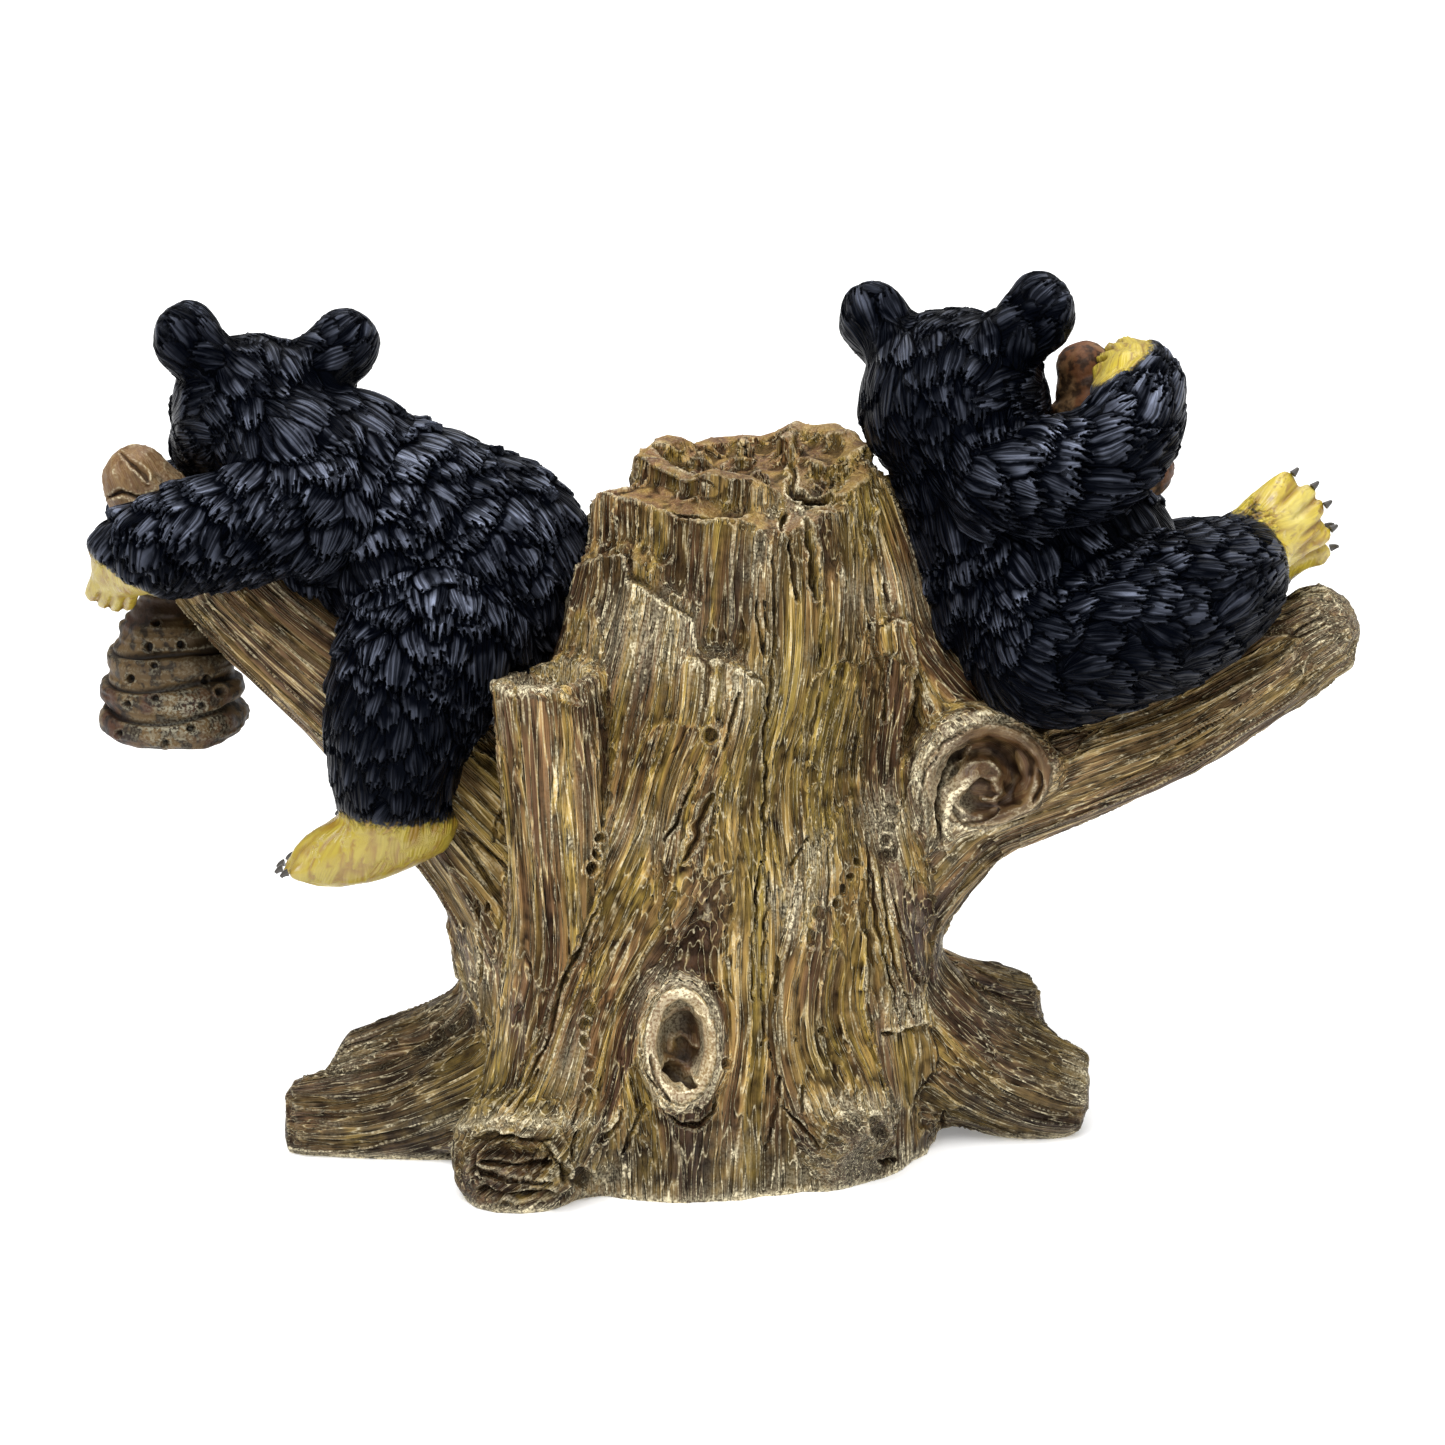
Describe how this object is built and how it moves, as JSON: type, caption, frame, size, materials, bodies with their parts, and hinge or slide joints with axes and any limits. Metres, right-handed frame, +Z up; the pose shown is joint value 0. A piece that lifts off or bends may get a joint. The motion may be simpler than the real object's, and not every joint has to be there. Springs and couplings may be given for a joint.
{
  "type": "bear statue",
  "caption": "Cast resin statue of black bear cubs on a broken tree stump: one climbs a branch above a straw hive, the other sits on a branch and holds a hive to its mouth.",
  "frame": {"origin": "on the ground, under the middle of the statue's box", "axes": "+X from the climbing cub's branch to the sitting cub's branch, +Y from the back of the statue to the side that the cubs face, +Z up"},
  "size_m": [0.2348, 0.082, 0.1687],
  "materials": {
    "stained_wood_resin": "tan resin with a brown stain in the grain and pale dry-brushed ridges",
    "climbing_bear_paint": "blue-black paint with a soft sheen, yellow paws",
    "sitting_bear_paint": "blue-black paint with a soft sheen, yellow paws",
    "hanging_hive_straw": "brown stain with grey dry-brushed coils",
    "held_hive_straw": "smooth brown stain"
  },
  "bodies": {
    "root": {"tree_stump": "stained_wood_resin", "climbing_bear": "climbing_bear_paint", "sitting_bear": "sitting_bear_paint", "hanging_hive": "hanging_hive_straw", "held_hive": "held_hive_straw"}
  },
  "joints": []
}
